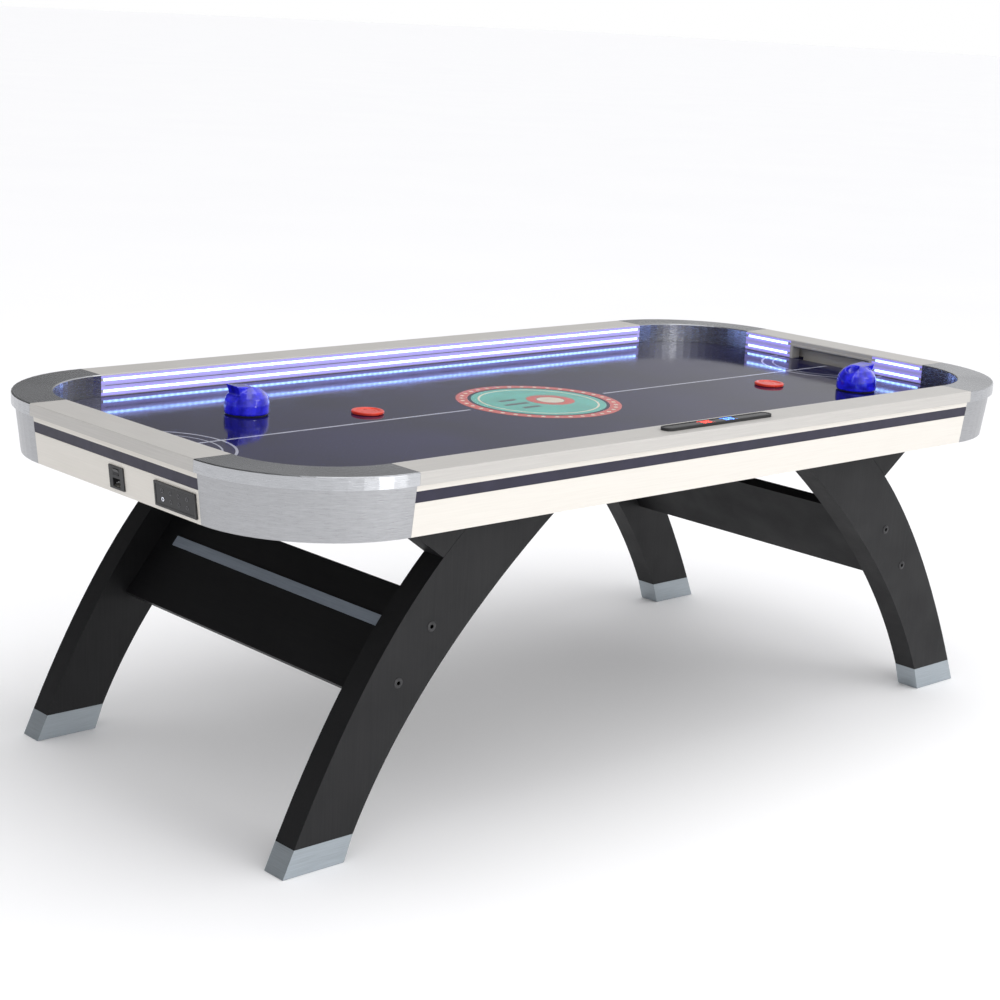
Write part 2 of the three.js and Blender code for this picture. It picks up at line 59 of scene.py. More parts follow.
def add_camera():
    forward = Vector((math.cos(CAMERA_YAW) * math.cos(CAMERA_PITCH),
                      math.sin(CAMERA_YAW) * math.cos(CAMERA_PITCH),
                      -math.sin(CAMERA_PITCH)))
    level_right = Vector((math.sin(CAMERA_YAW), -math.cos(CAMERA_YAW), 0))
    level_up = level_right.cross(forward)
    right = level_right * math.cos(CAMERA_ROLL) + level_up * math.sin(CAMERA_ROLL)
    up = level_up * math.cos(CAMERA_ROLL) - level_right * math.sin(CAMERA_ROLL)
    data = bpy.data.cameras.new("camera")
    data.lens = CAMERA_LENS
    data.sensor_width = 36
    camera = bpy.data.objects.new("camera", data)
    turn = Matrix((right, up, -forward)).transposed().to_4x4()
    camera.matrix_world = Matrix.Translation(CAMERA_PLACE) @ turn
    bpy.context.scene.collection.objects.link(camera)
    bpy.context.scene.camera = camera


# Material building

LED_LEVELS = (("upper", 0.788), ("lower", 0.762))
DIODE_PITCH = 0.0167
ROW_REACH = 0.013


class Maker:
    """A material with a Principled shader, and short ways to add nodes to it."""

    def __init__(self, name, color, roughness, metallic=0.0):
        self.material = bpy.data.materials.new(name)
        self.material.use_nodes = True
        self.tree = self.material.node_tree
        self.shader = self.tree.nodes["Principled BSDF"]
        self.shader.inputs["Base Color"].default_value = (*color, 1)
        self.shader.inputs["Roughness"].default_value = roughness
        self.shader.inputs["Metallic"].default_value = metallic
        self.place = self.add("ShaderNodeTexCoord").outputs["Object"]

    def add(self, kind, **settings):
        node = self.tree.nodes.new(kind)
        for key, value in settings.items():
            setattr(node, key, value)
        return node

    def link(self, source, target):
        self.tree.links.new(source, target)

    def set(self, **values):
        for key, value in values.items():
            self.shader.inputs[key.replace("_", " ")].default_value = value

    def stretched(self, scale, source=None):
        mapping = self.add("ShaderNodeMapping")
        mapping.inputs["Scale"].default_value = scale
        self.link(source or self.place, mapping.inputs["Vector"])
        return mapping.outputs["Vector"]

    def noise(self, vector, scale, detail=3.0, roughness=0.5):
        node = self.add("ShaderNodeTexNoise")
        node.inputs["Scale"].default_value = scale
        node.inputs["Detail"].default_value = detail
        node.inputs["Roughness"].default_value = roughness
        self.link(vector, node.inputs["Vector"])
        return node.outputs["Fac"]

    def ramp(self, value, stops):
        node = self.add("ShaderNodeValToRGB")
        elements = node.color_ramp.elements
        while len(elements) < len(stops):
            elements.new(0.5)
        for element, (position, color) in zip(elements, stops):
            element.position = position
            element.color = (*color, 1)
        self.link(value, node.inputs["Fac"])
        return node.outputs["Color"]

    def spread(self, value, low, high):
        node = self.add("ShaderNodeMapRange")
        node.inputs["From Min"].default_value = 0.3
        node.inputs["From Max"].default_value = 0.7
        node.inputs["To Min"].default_value = low
        node.inputs["To Max"].default_value = high
        self.link(value, node.inputs["Value"])
        return node.outputs["Result"]

    def math(self, operation, a, b=None):
        node = self.add("ShaderNodeMath", operation=operation)
        for socket, value in zip(node.inputs, (a, b)):
            if value is None:
                continue
            if isinstance(value, (int, float)):
                socket.default_value = value
            else:
                self.link(value, socket)
        return node.outputs["Value"]

    def bump(self, height, strength, distance):
        node = self.add("ShaderNodeBump")
        node.inputs["Strength"].default_value = strength
        node.inputs["Distance"].default_value = distance
        self.link(height, node.inputs["Height"])
        self.link(node.outputs["Normal"], self.shader.inputs["Normal"])


def laminate(name, color, shade, roughness, grain_axis, gloss=0.45):
    """Satin laminate with a faint drawn grain along one axis and a fine hammered surface."""
    maker = Maker(name, color, roughness)
    scale = [60.0, 60.0, 60.0]
    scale[grain_axis] = 1.5
    grain = maker.noise(maker.stretched(scale), 6.0, 4.0)
    tint = maker.ramp(grain, [(0.3, shade), (0.7, color)])
    maker.link(tint, maker.shader.inputs["Base Color"])
    smudge = maker.noise(maker.place, 9.0, 4.0)
    maker.link(maker.spread(smudge, roughness - 0.06, roughness + 0.08), maker.shader.inputs["Roughness"])
    maker.bump(maker.noise(maker.place, 900.0, 2.0), 0.12, 0.0003)
    maker.set(Specular_IOR_Level=gloss)
    return maker.material


def brushed_metal(name, color, roughness, curved=False, fine_axis=2, metallic=1.0):
    """Aluminium with fine brush lines: round each corner where curved, else along the face."""
    maker = Maker(name, color, roughness, metallic)
    if curved:
        split = maker.add("ShaderNodeSeparateXYZ")
        maker.link(maker.place, split.inputs["Vector"])
        across = maker.math("SUBTRACT", maker.math("ABSOLUTE", split.outputs["X"]), CORNER_CENTRE_X)
        along = maker.math("SUBTRACT", maker.math("ABSOLUTE", split.outputs["Y"]), CORNER_CENTRE_Y)
        radius = maker.math("SQRT", maker.math("ADD", maker.math("MULTIPLY", across, across),
                                               maker.math("MULTIPLY", along, along)))
        join = maker.add("ShaderNodeCombineXYZ")
        maker.link(maker.math("MULTIPLY", radius, 900.0), join.inputs["X"])
        maker.link(maker.math("MULTIPLY", split.outputs["Z"], 900.0), join.inputs["Y"])
        maker.link(maker.math("MULTIPLY", maker.math("ARCTAN2", along, across), 9.0), join.inputs["Z"])
        lines = maker.noise(join.outputs["Vector"], 1.0, 5.0, 0.65)
    else:
        scale = [14.0, 14.0, 14.0]
        scale[fine_axis] = 900.0
        lines = maker.noise(maker.stretched(scale), 1.0, 5.0, 0.65)
    shade = tuple(channel * 0.72 for channel in color)
    maker.link(maker.ramp(lines, [(0.3, shade), (0.7, color)]), maker.shader.inputs["Base Color"])
    maker.link(maker.spread(lines, roughness - 0.08, roughness + 0.12), maker.shader.inputs["Roughness"])
    maker.bump(lines, 0.25, 0.0002)
    maker.set(Anisotropic=0.5)
    return maker.material


def playfield_coat():
    """Deep navy gloss with a faint cloud of fine metallic specks under the coat."""
    maker = Maker("playfield_coat", (0.007, 0.007, 0.034), 0.06)
    cloud = maker.noise(maker.place, 3.0, 5.0)
    deep = maker.ramp(cloud, [(0.35, (0.005, 0.005, 0.028)), (0.65, (0.011, 0.010, 0.055))])
    specks = maker.add("ShaderNodeTexVoronoi")
    specks.inputs["Scale"].default_value = 130.0
    maker.link(maker.place, specks.inputs["Vector"])
    bright = maker.ramp(specks.outputs["Distance"], [(0.0, (0.55, 0.62, 0.9)), (0.10, (0.0, 0.0, 0.0))])
    mix = maker.add("ShaderNodeMix", data_type="RGBA", blend_type="ADD")
    mix.inputs["Factor"].default_value = 0.22
    maker.link(deep, mix.inputs["A"])
    maker.link(bright, mix.inputs["B"])
    maker.link(mix.outputs["Result"], maker.shader.inputs["Base Color"])
    maker.link(maker.spread(maker.noise(maker.place, 14.0), 0.05, 0.11), maker.shader.inputs["Roughness"])
    maker.bump(maker.noise(maker.place, 40.0, 2.0), 0.02, 0.0005)
    maker.set(Specular_IOR_Level=0.26)
    return maker.material


def plastic(name, color, roughness, grain=700.0, depth=0.15, coat=0.0, gloss=0.5):
    """Moulded plastic with a fine grain and slightly uneven gloss."""
    maker = Maker(name, color, roughness)
    tint = tuple(channel * 0.8 for channel in color)
    maker.link(maker.ramp(maker.noise(maker.place, 25.0), [(0.35, tint), (0.65, color)]),
               maker.shader.inputs["Base Color"])
    maker.link(maker.spread(maker.noise(maker.place, 60.0), max(roughness - 0.05, 0.03), roughness + 0.07),
               maker.shader.inputs["Roughness"])
    maker.bump(maker.noise(maker.place, grain, 2.0), depth, 0.0002)
    maker.set(Coat_Weight=coat, Specular_IOR_Level=gloss)
    return maker.material


def glowing(name, color, light, strength, pitch_axis=None):
    """A lit diffuser. Along pitch_axis its light rises and falls over each diode."""
    maker = Maker(name, color, 0.35)
    maker.shader.inputs["Emission Color"].default_value = (*light, 1)
    if pitch_axis is None:
        level = maker.spread(maker.noise(maker.place, 80.0), strength * 0.85, strength * 1.1)
    else:
        split = maker.add("ShaderNodeSeparateXYZ")
        maker.link(maker.place, split.inputs["Vector"])
        phase = maker.math("MULTIPLY", split.outputs[pitch_axis], 2 * math.pi / DIODE_PITCH)
        wave = maker.math("SINE", phase)
        level = maker.math("ADD", maker.math("MULTIPLY", wave, strength * 0.25), strength)
    maker.link(level, maker.shader.inputs["Emission Strength"])
    return maker.material


def painted_wall_glow():
    """A painted glow on the inner walls, standing in for the light that the rows throw on them: blue beside
    each row of light, fading to lavender between them.
    """
    maker = Maker("wall_painted_glow", (0.42, 0.40, 0.62), 0.3)
    split = maker.add("ShaderNodeSeparateXYZ")
    maker.link(maker.place, split.inputs["Vector"])
    rows = [maker.math("ABSOLUTE", maker.math("SUBTRACT", split.outputs["Z"], z)) for _, z in LED_LEVELS]
    nearest = maker.math("MULTIPLY", maker.math("MINIMUM", rows[0], rows[1]), 1 / ROW_REACH)
    # Emitted colours of the painted glow from the rows of light
    painted_glow_beside_row = (0.16, 0.14, 1.0)
    painted_glow_further_off = (0.22, 0.17, 0.80)
    painted_glow_between_rows = (0.20, 0.17, 0.48)
    glow = maker.ramp(nearest, [(0.20, painted_glow_beside_row), (0.45, painted_glow_further_off), (1.0, painted_glow_between_rows)])
    maker.link(glow, maker.shader.inputs["Emission Color"])
    # Strength of the painted glow: strongest beside each row, fading between them
    fade = maker.math("SUBTRACT", 1.15, maker.math("MULTIPLY", nearest, 0.75))
    ripple = maker.spread(maker.noise(maker.place, 30.0), 0.92, 1.06)
    maker.link(maker.math("MULTIPLY", fade, ripple), maker.shader.inputs["Emission Strength"])
    return maker.material


def blue_grip():
    """Clear blue moulding, with a painted blue glow in place of the light of the rails that it picks up."""
    maker = Maker("pusher_blue", (0.012, 0.010, 0.75), 0.08)
    cloud = maker.noise(maker.place, 45.0, 3.0)
    maker.link(maker.ramp(cloud, [(0.3, (0.004, 0.004, 0.34)), (0.7, (0.03, 0.03, 0.85))]),
               maker.shader.inputs["Base Color"])
    maker.link(maker.spread(maker.noise(maker.place, 120.0), 0.05, 0.12), maker.shader.inputs["Roughness"])
    # Painted glow: blue emission, stronger where the cloud is lighter, in place of the rails' light shining
    # through the moulding
    maker.shader.inputs["Emission Color"].default_value = (0.01, 0.005, 1.0, 1)
    maker.link(maker.spread(cloud, 0.0, 0.16), maker.shader.inputs["Emission Strength"])
    maker.set(Coat_Weight=1.0, Coat_Roughness=0.04, Transmission_Weight=0.25, IOR=1.49)
    return maker.material


def felt():
    """Dark pressed fibres."""
    maker = Maker("pad_felt", (0.02, 0.02, 0.03), 0.95)
    fibres = maker.noise(maker.place, 1200.0, 4.0, 0.7)
    maker.link(maker.ramp(fibres, [(0.3, (0.008, 0.008, 0.014)), (0.7, (0.04, 0.04, 0.055))]),
               maker.shader.inputs["Base Color"])
    maker.bump(fibres, 0.5, 0.0006)
    maker.set(Sheen_Weight=0.4)
    return maker.material


RAIL_COLOR = (0.50, 0.485, 0.46)
RAIL_SHADE = (0.455, 0.44, 0.42)
APRON_COLOR = (0.70, 0.67, 0.62)
APRON_SHADE = (0.665, 0.635, 0.585)
METAL_COLOR = (0.54, 0.55, 0.57)
# The corner panels' aluminium is darker than the caps': painted shade on the vertical panels below the caps
SHADED_PANEL_METAL = (0.46, 0.465, 0.48)
LED_LIGHT = (0.30, 0.50, 1.0)
looks = {
    "rail_long": laminate("rail_laminate_long", RAIL_COLOR, RAIL_SHADE, 0.36, 0),
    "rail_end": laminate("rail_laminate_end", RAIL_COLOR, RAIL_SHADE, 0.36, 1),
    "apron_long": laminate("apron_laminate_long", APRON_COLOR, APRON_SHADE, 0.40, 0),
    "apron_end": laminate("apron_laminate_end", APRON_COLOR, APRON_SHADE, 0.40, 1),
    "stripe": plastic("stripe_charcoal", (0.022, 0.020, 0.042), 0.36, depth=0.02, gloss=0.3),
    "corner_cap": brushed_metal("corner_cap_aluminium", METAL_COLOR, 0.22, curved=True),
    "corner_panel": brushed_metal("corner_panel_aluminium", SHADED_PANEL_METAL, 0.30, curved=True),
    "foot": brushed_metal("foot_aluminium", (0.46, 0.51, 0.55), 0.42, metallic=0.7),
    "trim": brushed_metal("trim_aluminium", (0.33, 0.38, 0.45), 0.4, fine_axis=0, metallic=0.35),
    "field": playfield_coat(),
    "board": laminate("board_paint", (0.055, 0.05, 0.045), (0.04, 0.037, 0.034), 0.75, 0),
    "led_x": glowing("led_light_long", (0.5, 0.6, 1.0), LED_LIGHT, 5.0, "X"),
    "led_y": glowing("led_light_end", (0.5, 0.6, 1.0), LED_LIGHT, 5.0, "Y"),
    "black_leg": laminate("leg_laminate", (0.010, 0.010, 0.011), (0.006, 0.006, 0.007), 0.50, 2, 0.3),
    "black_panel": laminate("panel_laminate", (0.008, 0.008, 0.009), (0.005, 0.005, 0.006), 0.50, 1, 0.3),
    "black_plastic": plastic("moulded_black", (0.02, 0.02, 0.022), 0.45),
    "gloss_black": plastic("gloss_black", (0.004, 0.004, 0.006), 0.12, depth=0.01, coat=0.15, gloss=0.25),
    "steel": brushed_metal("zinc_steel", (0.5, 0.5, 0.5), 0.36),
    "circuit": plastic("solder_mask", (0.02, 0.14, 0.05), 0.4),
    "grip": blue_grip(),
    "painted_wall_glow": painted_wall_glow(),
    "puck": plastic("puck_red", (0.80, 0.045, 0.015), 0.30, coat=0.4),
    "felt": felt(),
    "line": plastic("field_line", (0.42, 0.43, 0.52), 0.15, depth=0.02, coat=0.6),
    "teal": plastic("emblem_teal", (0.05, 0.52, 0.42), 0.14, depth=0.02, coat=0.8),
    "emblem_red": plastic("emblem_red", (0.72, 0.05, 0.03), 0.14, depth=0.02, coat=0.8),
    "cream": plastic("emblem_cream", (0.85, 0.78, 0.62), 0.14, depth=0.02, coat=0.8),
    "ink": plastic("emblem_ink", (0.01, 0.03, 0.05), 0.14, depth=0.02, coat=0.8),
    # Near-black: painted shade for the inside of each air hole
    "hole": plastic("air_hole", (0.001, 0.001, 0.002), 0.6),
    "red_light": glowing("score_red", (0.6, 0.02, 0.02), (1.0, 0.05, 0.03), 4.0),
    "blue_light": glowing("score_blue", (0.05, 0.1, 0.7), (0.08, 0.25, 1.0), 5.0),
    "white_light": glowing("icon_white", (0.7, 0.7, 0.72), (0.8, 0.85, 1.0), 0.8),
    "icon": plastic("icon_grey", (0.12, 0.12, 0.13), 0.3),
}

NODE_LOOKS = {
    "rail_near": "rail_long", "rail_far": "rail_long", "rail_left": "rail_end", "rail_right": "rail_end",
    "apron_near": "apron_long", "apron_far": "apron_long",
    "apron_left": "apron_end", "apron_right": "apron_end",
    "playfield": "field", "bottom_board": "board",
    "score_display": "gloss_black", "touch_panel": "gloss_black", "rocker_switch": "gloss_black",
    "blower_motor": "steel", "control_board": "circuit",
}
PREFIX_LOOKS = [
    ("stripe_", "stripe"), ("corner_cap_", "corner_cap"), ("corner_panel_", "corner_panel"),
    ("foot_cap_", "foot"), ("trim_strip_", "trim"), ("led_strip_", "led_x"),
    ("leg_", "black_leg"), ("gusset_", "black_leg"), ("cross_panel_", "black_panel"),
    ("puck_", "puck"),
]
# Edge widths in millimetres, by the start of a node's name
BEVELS = [
    ("apron_", 1.0), ("corner_panel_", 1.0), ("foot_cap_", 1.2), ("leg_", 1.6), ("gusset_", 1.2),
    ("cross_panel_", 1.6), ("trim_strip_", 0.6), ("score_", 0.8), ("control_frame", 1.0),
    ("power_inlet", 0.7), ("rocker_switch", 0.6), ("puck_", 0.5),
]


def look_for(name):
    if name in NODE_LOOKS:
        return NODE_LOOKS[name]
    if name.startswith("pusher_"):
        return "felt" if name.endswith("_pad") else "grip"
    for prefix, look in PREFIX_LOOKS:
        if name.startswith(prefix):
            return look
    return "black_plastic"


SMOOTH_ANGLE = 28
BEVEL_ANGLE = 35
GRIP_VOXEL = 0.0011


def shade_by_angle(obj, degrees):
    obj.data.shade_smooth()
    obj.data.set_sharp_from_angle(angle=math.radians(degrees))


def finish_cad_nodes():
    for name, obj in nodes.items():
        obj.data.materials.clear()
        obj.data.materials.append(looks[look_for(name)])
        shade_by_angle(obj, SMOOTH_ANGLE)
        for prefix, width in BEVELS:
            if name.startswith(prefix):
                bevel = obj.modifiers.new("edge", "BEVEL")
                bevel.width = width * MM
                bevel.segments = 3
                bevel.limit_method = "ANGLE"
                bevel.angle_limit = math.radians(BEVEL_ANGLE)
                bevel.harden_normals = True
                break


def soften_grips():
    """The pushers' grips get the flowing surface of a moulding."""
    for name in ("pusher_left", "pusher_right"):
        remesh = nodes[name].modifiers.new("skin", "REMESH")
        remesh.mode = "VOXEL"
        remesh.voxel_size = GRIP_VOXEL
        remesh.use_smooth_shade = True
        smooth = nodes[name].modifiers.new("flow", "SMOOTH")
        smooth.factor = 0.5
        smooth.iterations = 10


# Mesh building

def new_piece(name, bm, look, body="table", smooth=30):
    mesh = bpy.data.meshes.new(name)
    bmesh.ops.recalc_face_normals(bm, faces=bm.faces)
    bm.to_mesh(mesh)
    bm.free()
    obj = bpy.data.objects.new(name, mesh)
    bpy.context.scene.collection.objects.link(obj)
    mesh.materials.append(looks[look])
    shade_by_angle(obj, smooth)
    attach(obj, body)
    return obj


def add_prism(bm, outline, z0, z1, matrix=None):
    """Closes an outline of X, Y points between two heights."""
    low = [bm.verts.new((x, y, z0)) for x, y in outline]
    high = [bm.verts.new((x, y, z1)) for x, y in outline]
    count = len(outline)
    bm.faces.new(list(reversed(low)))
    bm.faces.new(high)
    for index in range(count):
        after = (index + 1) % count
        bm.faces.new((low[index], low[after], high[after], high[index]))
    if matrix:
        bmesh.ops.transform(bm, matrix=matrix, verts=low + high)
    return low + high


def circle(radius, count=48, x=0.0, y=0.0):
    return [(x + radius * math.cos(2 * math.pi * i / count), y + radius * math.sin(2 * math.pi * i / count))
            for i in range(count)]


def add_ring(bm, inner, outer, z0, z1, x=0.0, y=0.0, start=0.0, end=2 * math.pi, count=96):
    """A flat ring, or an arc of one, with square edges."""
    whole = end - start > 2 * math.pi - 1e-6
    steps = count if whole else count + 1
    loops = []
    for index in range(steps):
        angle = start + (end - start) * index / count
        c, s = math.cos(angle), math.sin(angle)
        loops.append([bm.verts.new((x + r * c, y + r * s, z))
                      for r, z in ((inner, z0), (outer, z0), (outer, z1), (inner, z1))])
    for index in range(count):
        here, there = loops[index], loops[(index + 1) % steps]
        for side in range(4):
            after = (side + 1) % 4
            bm.faces.new((here[side], here[after], there[after], there[side]))
    if not whole:
        bm.faces.new(loops[0])
        bm.faces.new(list(reversed(loops[-1])))


def add_box(bm, low, high, matrix=None):
    outline = [(low[0], low[1]), (high[0], low[1]), (high[0], high[1]), (low[0], high[1])]
    return add_prism(bm, outline, low[2], high[2], matrix)


def add_turned(bm, profile, matrix, count=24):
    """Turns a profile of radius and height about its own Z, then moves it by matrix."""
    rings = []
    for radius, height in profile:
        if radius < 1e-6:
            rings.append([bm.verts.new((0, 0, height))])
        else:
            rings.append([bm.verts.new((px, py, height)) for px, py in circle(radius, count)])
    for lower, upper in zip(rings, rings[1:]):
        for index in range(count):
            after = (index + 1) % count
            corners = [lower[index % len(lower)], lower[after % len(lower)],
                       upper[after % len(upper)], upper[index % len(upper)]]
            unique = list(dict.fromkeys(corners))
            if len(unique) > 2:
                bm.faces.new(unique)
    verts = [vert for ring in rings for vert in ring]
    bmesh.ops.transform(bm, matrix=matrix, verts=verts)


# Playfield markings

# Each marking is a thin inlay, and one that crosses another lies a little higher
INLAY_LOW = FIELD_Z + 0.00002
INLAY_HIGH = FIELD_Z + 0.00012
INLAY_STEP = 0.00003
LINE_HALF_WIDTH = 0.004
LINE_END_GAP = 0.012
EMBLEM_CLEARANCE = 0.215
CREASE_RINGS = ((0.176, 0.182), (0.148, 0.152))
CREASE_INSET = 0.004


def inlay_level(index):
    return INLAY_LOW + index * INLAY_STEP, INLAY_HIGH + index * INLAY_STEP


def add_field_lines():
    bm = bmesh.new()
    reach = FIELD_HALF_X - LINE_END_GAP
    for side in (-1, 1):
        xs = sorted((side * EMBLEM_CLEARANCE, side * reach))
        add_box(bm, (xs[0], -LINE_HALF_WIDTH, INLAY_LOW), (xs[1], LINE_HALF_WIDTH, INLAY_HIGH))
    new_piece("field_centre_line", bm, "line")
    for name, side in (("left", -1), ("right", 1)):
        bm = bmesh.new()
        start = side * math.pi / 2
        centre = side * (FIELD_HALF_X - CREASE_INSET)
        for inner, outer in CREASE_RINGS:
            add_ring(bm, inner, outer, *inlay_level(1), centre, 0, start, start + math.pi, 64)
        new_piece(f"goal_crease_{name}", bm, "line")


HOLE_PITCH = 0.0254
HOLE_RADIUS = 0.0009
HOLE_Z = FIELD_Z + 0.00006
HOLE_CORNER = 0.1
HOLE_GRID_MARGIN = 0.03
HOLE_WALL_MARGIN = 0.02


def add_air_holes():
    """A grid of air holes over the field, one inch apart, each a near-black disc: painted shade in place of
    the dark inside of the hole.
    """
    bm = bmesh.new()
    columns = int((FIELD_HALF_X - HOLE_GRID_MARGIN) / HOLE_PITCH)
    rows = int((FIELD_HALF_Y - HOLE_GRID_MARGIN) / HOLE_PITCH)
    for column in range(-columns, columns + 1):
        for row in range(-rows, rows + 1):
            x = (column + 0.5) * HOLE_PITCH
            y = (row + 0.5) * HOLE_PITCH
            to_end = FIELD_HALF_X - abs(x)
            to_side = FIELD_HALF_Y - abs(y)
            in_corner = to_end < HOLE_CORNER and to_side < HOLE_CORNER
            if in_corner or min(to_end, to_side) < HOLE_WALL_MARGIN:
                continue
            outline = circle(HOLE_RADIUS, 6, x, y)
            bm.faces.new([bm.verts.new((px, py, HOLE_Z)) for px, py in outline])
    new_piece("air_holes", bm, "hole")


EMBLEM_RING = (0.168, 0.196)
EMBLEM_DISC = 0.160
EMBLEM_INNER_LINE = (0.139, 0.144)
STUD_COUNT = 36
STUD_RADIUS = 0.0055
STUD_CIRCLE = 0.182
SPEED_LINES = ((-0.042, 0.052), (0.0, 0.072), (0.042, 0.052))
SPEED_LINE_START = -0.035
SPEED_LINE_HALF_WIDTH = 0.007
BADGE_PUCK_X = 0.038
BADGE_PUCK_RIM = (0.034, 0.058)
BADGE_PUCK_CENTRE = 0.032


def add_emblem():
    """A plain round badge: a teal disc in a red ring with studs, and a gliding puck."""
    base = inlay_level(0)
    raised = inlay_level(2)
    bm = bmesh.new()
    add_ring(bm, *EMBLEM_RING, *base)
    new_piece("emblem_outer_ring", bm, "emblem_red")
    bm = bmesh.new()
    add_prism(bm, circle(EMBLEM_DISC, 96), *base)
    new_piece("emblem_disc", bm, "teal")
    bm = bmesh.new()
    for index in range(STUD_COUNT):
        angle = 2 * math.pi * index / STUD_COUNT
        stud = circle(STUD_RADIUS, 12, STUD_CIRCLE * math.cos(angle), STUD_CIRCLE * math.sin(angle))
        add_prism(bm, stud, *raised)
    add_ring(bm, *EMBLEM_INNER_LINE, *raised)
    new_piece("emblem_studs", bm, "cream")
    bm = bmesh.new()
    for y, length in SPEED_LINES:
        add_box(bm, (SPEED_LINE_START - length, y - SPEED_LINE_HALF_WIDTH, raised[0]),
                (SPEED_LINE_START, y + SPEED_LINE_HALF_WIDTH, raised[1]))
    new_piece("emblem_speed_lines", bm, "ink")
    bm = bmesh.new()
    add_ring(bm, *BADGE_PUCK_RIM, *raised, BADGE_PUCK_X)
    new_piece("emblem_puck_rim", bm, "emblem_red")
    bm = bmesh.new()
    add_prism(bm, circle(BADGE_PUCK_CENTRE, 48, BADGE_PUCK_X), *raised)
    new_piece("emblem_puck_centre", bm, "cream")


# Lights of the end walls, and the parts that line the inner walls, among them thin sheets with a painted
# glow from the rows of light

END_LED_NEAR = 0.1505
END_LED_FAR = CORNER_CENTRE_Y - 0.0085
END_LED_DEPTH = (0.0010, 0.0057)
END_LED_HALF_HEIGHT = 0.0027


def add_end_lights():
    for end, side in (("left", -1), ("right", 1)):
        for half, across in (("near", -1), ("far", 1)):
            xs = sorted(side * (FIELD_HALF_X + depth) for depth in END_LED_DEPTH)
            ys = sorted((across * END_LED_NEAR, across * END_LED_FAR))
            for level, z in LED_LEVELS:
                bm = bmesh.new()
                add_box(bm, (xs[0], ys[0], z - END_LED_HALF_HEIGHT), (xs[1], ys[1], z + END_LED_HALF_HEIGHT))
                new_piece(f"led_strip_{end}_{half}_{level}", bm, "led_y")


WALL_BANDS = ((0.7518, 0.7584), (0.7656, 0.7844), (0.7916, 0.7972))
PANEL_THICKNESS = 0.0008
END_PANEL_NEAR = 0.139


def add_painted_glow_sheets():
    """Thin sheets on the inner walls above, between and below the rows of light, which carry the painted
    glow of the rows.
    """
    for name, side in (("near", -1), ("far", 1)):
        bm = bmesh.new()
        ys = sorted((side * FIELD_HALF_Y, side * (FIELD_HALF_Y - PANEL_THICKNESS)))
        for low, high in WALL_BANDS:
            add_box(bm, (-CORNER_CENTRE_X, ys[0], low), (CORNER_CENTRE_X, ys[1], high))
        new_piece(f"painted_glow_sheet_{name}", bm, "painted_wall_glow")
    for name, side in (("left", -1), ("right", 1)):
        xs = sorted((side * FIELD_HALF_X, side * (FIELD_HALF_X - PANEL_THICKNESS)))
        for half, across in (("near", -1), ("far", 1)):
            bm = bmesh.new()
            ys = sorted((across * END_PANEL_NEAR, across * CORNER_CENTRE_Y))
            for low, high in WALL_BANDS:
                add_box(bm, (xs[0], ys[0], low), (xs[1], ys[1], high))
            new_piece(f"painted_glow_sheet_{name}_{half}", bm, "painted_wall_glow")


WALL_LINE_Z = 0.775
WALL_LINE_HALF_HEIGHT = 0.0006
WALL_LINE_DEPTH = 0.0004
WALL_LINE_HALF_LENGTH = CORNER_CENTRE_X - 0.01


def add_wall_lines():
    """A fine dark line along each long inner wall, between the two rows of light."""
    panel_face = FIELD_HALF_Y - PANEL_THICKNESS
    for name, side in (("near", -1), ("far", 1)):
        bm = bmesh.new()
        ys = sorted((side * (panel_face - WALL_LINE_DEPTH), side * panel_face))
        add_box(bm, (-WALL_LINE_HALF_LENGTH, ys[0], WALL_LINE_Z - WALL_LINE_HALF_HEIGHT),
                (WALL_LINE_HALF_LENGTH, ys[1], WALL_LINE_Z + WALL_LINE_HALF_HEIGHT))
        new_piece(f"wall_line_{name}", bm, "icon")


GOAL_LIP_INNER = 0.1305
GOAL_LIP_OUTER = 0.1385
GOAL_LIP_BOTTOM = FIELD_Z + 0.0006
GOAL_LINTEL = (0.7836, 0.7878)
GOAL_LIP_DEPTH = (0.0022, 0.0002)


def add_goal_frames():
    """A thin lip at the sides and over the top of each goal slot."""
    for name, side in (("left", -1), ("right", 1)):
        bm = bmesh.new()
        xs = sorted(side * (FIELD_HALF_X - depth) for depth in GOAL_LIP_DEPTH)
        for across in (-1, 1):
            ys = sorted((across * GOAL_LIP_INNER, across * GOAL_LIP_OUTER))
            add_box(bm, (xs[0], ys[0], GOAL_LIP_BOTTOM), (xs[1], ys[1], GOAL_LINTEL[1]))
        add_box(bm, (xs[0], -GOAL_LIP_INNER, GOAL_LINTEL[0]), (xs[1], GOAL_LIP_INNER, GOAL_LINTEL[1]))
        new_piece(f"goal_frame_{name}", bm, "rail_end")


# Fasteners

BOLT_SPACING = 0.130
CROSS_TILT = math.radians(38)
BOLT_STAND_OFF = 0.0002

# Radius and height of a socket head's outline, from the bottom of its socket outwards
BOLT_HEAD = ((0, -0.0002), (0.0042, -0.0002), (0.0042, 0.0012), (0.0052, 0.0018), (0.0085, 0.0016),
             (0.0105, 0.0006), (0.0108, -0.0004))


def bolt_places():
    """Each bolt's name, its place on the outer face of a leg, and the side that it faces."""
    for x_name, x_side in (("left", -1), ("right", 1)):
        low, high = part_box("cross_panel_" + x_name)
        middle = Vector(((low[0] + high[0]) / 2, 0, (low[2] + high[2]) / 2))
        along = Vector((-x_side * math.sin(CROSS_TILT), 0, math.cos(CROSS_TILT)))
        for y_name, y_side in (("near", -1), ("far", 1)):
            leg = f"{y_name}_{x_name}"
            leg_low, leg_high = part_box("leg_" + leg)
            middle.y = leg_high[1] if y_side > 0 else leg_low[1]
            for index, step in ((1, -0.5), (2, 0.5)):
                yield f"leg_bolt_{leg}_{index}", middle + along * BOLT_SPACING * step, y_side


